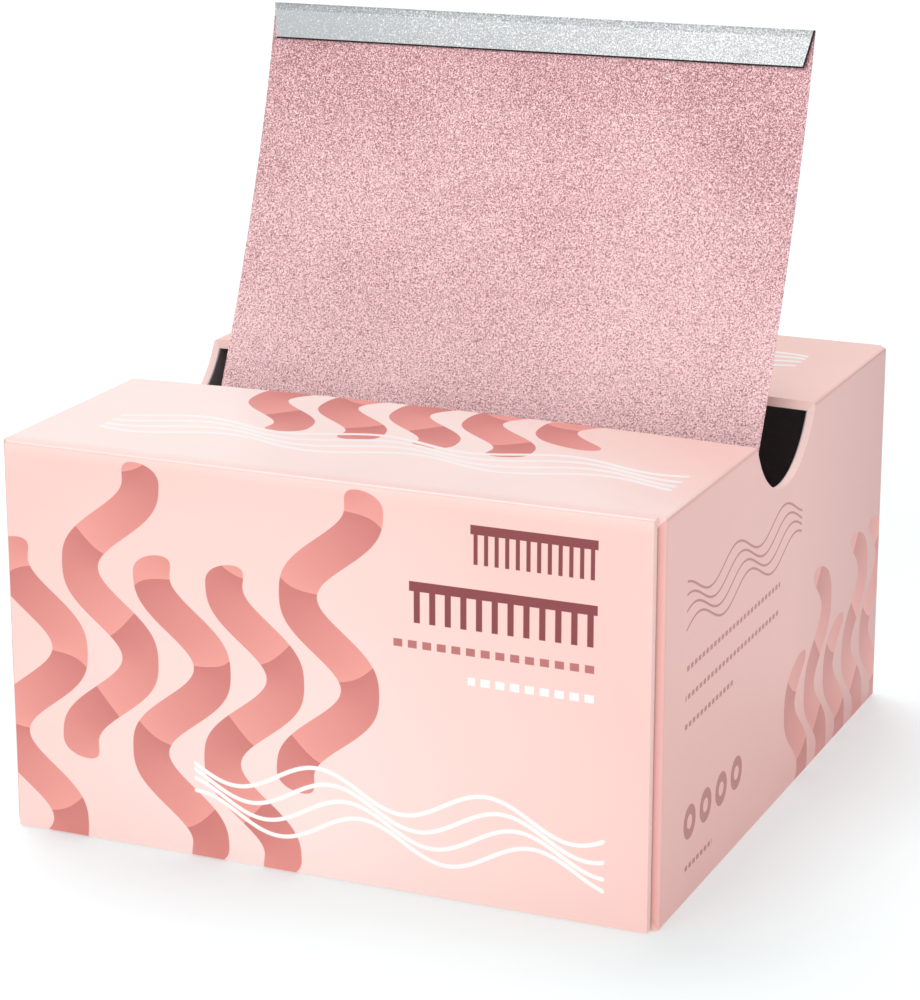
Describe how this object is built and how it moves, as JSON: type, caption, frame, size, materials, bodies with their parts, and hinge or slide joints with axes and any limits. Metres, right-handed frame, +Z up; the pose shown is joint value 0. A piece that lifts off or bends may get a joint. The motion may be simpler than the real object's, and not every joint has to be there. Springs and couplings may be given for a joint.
{
  "type": "pop-up foil dispenser box",
  "caption": "Folded board dispenser box with a slot across its top and round finger notches, holding interfolded foils with a sheet popped up.",
  "frame": {"origin": "on the surface it stands on, under the middle of the box", "axes": "+Z up, +X to the right of the front face, the front faces -Y and the popped sheet leans to +Y"},
  "size_m": [0.1446, 0.1516, 0.1607],
  "materials": {
    "printed_board": "satin laminated print",
    "foil_pack": "stacked coloured foil",
    "rose_foil": "embossed, coloured",
    "silver_foil": "embossed, bare"
  },
  "bodies": {
    "root": {"top_front_panel": "printed_board", "top_rear_panel": "printed_board", "bottom_panel": "printed_board", "left_side_panel": "printed_board", "right_side_panel": "printed_board", "side_glue_flap": "printed_board", "front_left_dust_flap": "printed_board", "front_right_dust_flap": "printed_board", "rear_left_dust_flap": "printed_board", "rear_right_dust_flap": "printed_board", "foil_bundle_01": "foil_pack", "foil_bundle_02": "foil_pack", "foil_bundle_03": "foil_pack", "foil_bundle_04": "foil_pack", "foil_bundle_05": "foil_pack", "foil_bundle_06": "foil_pack", "foil_bundle_07": "foil_pack", "foil_bundle_08": "foil_pack", "foil_bundle_09": "foil_pack", "foil_bundle_10": "foil_pack", "next_sheet": "rose_foil", "popped_sheet_tail": "rose_foil"},
    "front_flap": {"front_outer_flap": "printed_board"},
    "rear_flap": {"rear_outer_flap": "printed_board"},
    "sheet": {"popped_sheet": "rose_foil"},
    "hem": {"popped_sheet_hem": "silver_foil"}
  },
  "joints": [
    {"name": "front_flap_fold", "type": "hinge", "parent": "root", "child": "front_flap", "pos_m": [0, -0.0758, 0.0843], "axis": [-1, 0, 0], "range_deg": [0, 150]},
    {"name": "rear_flap_fold", "type": "hinge", "parent": "root", "child": "rear_flap", "pos_m": [0, 0.0758, 0.0843], "axis": [1, 0, 0], "range_deg": [0, 150]},
    {"name": "foil_pull", "type": "slide", "parent": "root", "child": "sheet", "axis": [0, 0.342, 0.9397], "range_m": [0, 0.12], "deforming": ["popped_sheet_tail"]},
    {"name": "hem_fold", "type": "hinge", "parent": "sheet", "child": "hem", "pos_m": [0, 0.03677, 0.16053], "axis": [-1, 0, 0], "range_deg": [0, 150]}
  ]
}
